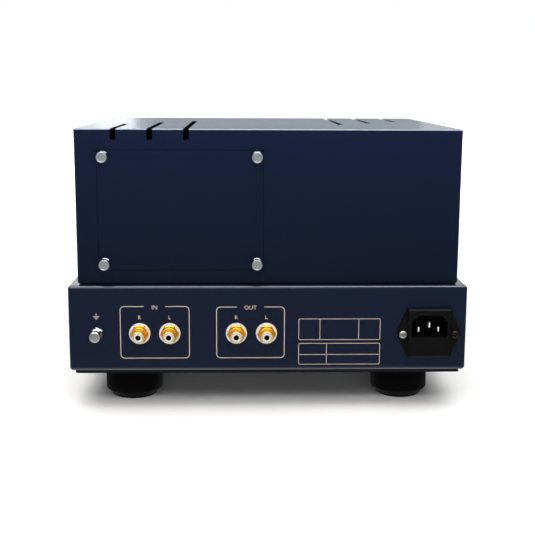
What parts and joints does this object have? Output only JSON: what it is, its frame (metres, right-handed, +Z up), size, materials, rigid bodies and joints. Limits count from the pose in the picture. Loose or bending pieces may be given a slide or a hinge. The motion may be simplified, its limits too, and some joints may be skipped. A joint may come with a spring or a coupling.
{
  "type": "phono preamplifier",
  "caption": "Tube phono preamplifier with a slotted rear cover, a thumb-screwed access hatch, rear phono jacks, front dials, and tubes under a lift-off cage.",
  "frame": {"origin": "on the floor, under the middle of the chassis and its controls", "axes": "+Z up, +Y out of the rear panel with the connectors, +X to the right for someone in front of the dials"},
  "size_m": [0.2824, 0.405, 0.1971],
  "materials": {
    "body_paint": "fine satin paint",
    "plate_paint": "satin paint",
    "foot_black": "matt",
    "rubber": "matt",
    "steel": "zinc plated",
    "machined_silver": "fine turned",
    "gold": "gold plated",
    "ptfe_white": "satin",
    "ring_red": "gloss",
    "ring_black": "gloss",
    "black_plastic": "moulded, satin",
    "gloss_black": "gloss",
    "fuse_glass": "clear",
    "valve_glass": "clear",
    "ceramic": "glazed",
    "lens": "clear amber lens",
    "winding_tape": "taped winding",
    "choke_steel": "varnished laminations",
    "board_green": "solder mask",
    "can_black": "sleeved can"
  },
  "bodies": {
    "chassis": {"chassis_tub": "body_paint", "bottom_plate": "plate_paint", "bottom_screws": "steel", "foot_bodies": "foot_black", "foot_pads": "rubber", "foot_screws": "steel", "front_panel": "body_paint", "case_screws": "steel", "rear_cover": "body_paint", "hatch_frame": "plate_paint", "jack_shells": "gold", "jack_discs": "ptfe_white", "jack_rings_right": "ring_red", "jack_rings_left": "ring_black", "jack_insulators": "ptfe_white", "jack_contacts": "gold", "rear_nuts": "gold", "ground_stud": "machined_silver", "inlet_body": "black_plastic", "inlet_blades": "steel", "inlet_screws": "steel", "switch_housing": "black_plastic", "selector_switches": "steel", "selector_nuts": "steel", "pilot_lamp": "lens", "octal_sockets": "ceramic", "noval_sockets": "ceramic", "transformer_core": "winding_tape", "transformer_pads": "rubber", "transformer_clamp": "steel", "smoothing_choke": "choke_steel", "board_spacers": "steel", "circuit_boards": "board_green", "filter_capacitors": "can_black"},
    "gain": {"gain_knob": "machined_silver", "gain_shaft": "steel"},
    "load": {"load_knob": "machined_silver", "load_shaft": "steel"},
    "rocker": {"switch_rocker": "gloss_black"},
    "drawer": {"fuse_drawer": "black_plastic", "fuse": "fuse_glass"},
    "hatch": {"access_hatch": "body_paint"},
    "cage": {"cage_ends": "plate_paint", "cage_bars": "plate_paint"},
    "ground_washer": {"ground_washer": "steel"},
    "ground_cap": {"ground_cap": "machined_silver"},
    "rectifier_left": {"rectifier_tube_left": "valve_glass"},
    "rectifier_right": {"rectifier_tube_right": "valve_glass"},
    "driver_left": {"driver_tube_left": "valve_glass"},
    "phono_left": {"phono_tube_left": "valve_glass"},
    "driver_right": {"driver_tube_right": "valve_glass"},
    "phono_right": {"phono_tube_right": "valve_glass"},
    "washer_1": {"thumb_washer_1": "steel"},
    "screw_1": {"thumb_screw_1": "machined_silver"},
    "washer_2": {"thumb_washer_2": "steel"},
    "screw_2": {"thumb_screw_2": "machined_silver"},
    "washer_3": {"thumb_washer_3": "steel"},
    "screw_3": {"thumb_screw_3": "machined_silver"},
    "washer_4": {"thumb_washer_4": "steel"},
    "screw_4": {"thumb_screw_4": "machined_silver"}
  },
  "joints": [
    {"name": "gain_turn", "type": "hinge", "parent": "chassis", "child": "gain", "pos_m": [-0.072, -0.1805, 0.0584], "axis": [0, 1, 0], "range_deg": [0, 90]},
    {"name": "load_turn", "type": "hinge", "parent": "chassis", "child": "load", "pos_m": [0.072, -0.1805, 0.0584], "axis": [0, 1, 0], "range_deg": [0, 150]},
    {"name": "power_rock", "type": "hinge", "parent": "chassis", "child": "rocker", "pos_m": [-0.1378, -0.12, 0.0584], "axis": [0, 0, 1], "range_deg": [0, 18]},
    {"name": "drawer_slide", "type": "slide", "parent": "chassis", "child": "drawer", "axis": [0, 1, 0], "range_m": [0, 0.018]},
    {"name": "hatch_slide", "type": "slide", "parent": "chassis", "child": "hatch", "axis": [0, 1, 0], "range_m": [0, 0.03]},
    {"name": "cage_lift", "type": "slide", "parent": "chassis", "child": "cage", "axis": [0, 0, 1], "range_m": [0, 0.11]},
    {"name": "rectifier_left_lift", "type": "slide", "parent": "chassis", "child": "rectifier_left", "axis": [0, 0, 1], "range_m": [0, 0.014]},
    {"name": "rectifier_right_lift", "type": "slide", "parent": "chassis", "child": "rectifier_right", "axis": [0, 0, 1], "range_m": [0, 0.014]},
    {"name": "driver_left_lift", "type": "slide", "parent": "chassis", "child": "driver_left", "axis": [0, 0, 1], "range_m": [0, 0.03]},
    {"name": "phono_left_lift", "type": "slide", "parent": "chassis", "child": "phono_left", "axis": [0, 0, 1], "range_m": [0, 0.03]},
    {"name": "driver_right_lift", "type": "slide", "parent": "chassis", "child": "driver_right", "axis": [0, 0, 1], "range_m": [0, 0.03]},
    {"name": "phono_right_lift", "type": "slide", "parent": "chassis", "child": "phono_right", "axis": [0, 0, 1], "range_m": [0, 0.03]},
    {"name": "washer_1_slide", "type": "slide", "parent": "hatch", "child": "washer_1", "axis": [0, 1, 0], "range_m": [0, 0.0063]},
    {"name": "screw_1_turn", "type": "hinge", "parent": "washer_1", "child": "screw_1", "pos_m": [0.00815, 0.18205, 0.10375], "axis": [0, 1, 0], "range_deg": [0, 3300]},
    {"name": "washer_2_slide", "type": "slide", "parent": "hatch", "child": "washer_2", "axis": [0, 1, 0], "range_m": [0, 0.0063]},
    {"name": "screw_2_turn", "type": "hinge", "parent": "washer_2", "child": "screw_2", "pos_m": [0.11405, 0.18205, 0.10375], "axis": [0, 1, 0], "range_deg": [0, 3300]},
    {"name": "washer_3_slide", "type": "slide", "parent": "hatch", "child": "washer_3", "axis": [0, 1, 0], "range_m": [0, 0.0063]},
    {"name": "screw_3_turn", "type": "hinge", "parent": "washer_3", "child": "screw_3", "pos_m": [0.00815, 0.18205, 0.17805], "axis": [0, 1, 0], "range_deg": [0, 3300]},
    {"name": "washer_4_slide", "type": "slide", "parent": "hatch", "child": "washer_4", "axis": [0, 1, 0], "range_m": [0, 0.0063]},
    {"name": "screw_4_turn", "type": "hinge", "parent": "washer_4", "child": "screw_4", "pos_m": [0.11405, 0.18205, 0.17805], "axis": [0, 1, 0], "range_deg": [0, 3300]},
    {"name": "ground_washer_slide", "type": "slide", "parent": "chassis", "child": "ground_washer", "axis": [0, 1, 0], "range_m": [-0.0007, 0.0028]},
    {"name": "ground_cap_turn", "type": "hinge", "parent": "ground_washer", "child": "ground_cap", "pos_m": [0.1204, 0.193, 0.0551], "axis": [0, 1, 0], "range_deg": [-420, 1500]}
  ],
  "couplings": [
    {"joint": "screw_1_turn", "follows": "washer_1_slide", "rad_per_m": 8976},
    {"joint": "screw_2_turn", "follows": "washer_2_slide", "rad_per_m": 8976},
    {"joint": "screw_3_turn", "follows": "washer_3_slide", "rad_per_m": 8976},
    {"joint": "screw_4_turn", "follows": "washer_4_slide", "rad_per_m": 8976},
    {"joint": "ground_cap_turn", "follows": "ground_washer_slide", "rad_per_m": 8976}
  ]
}
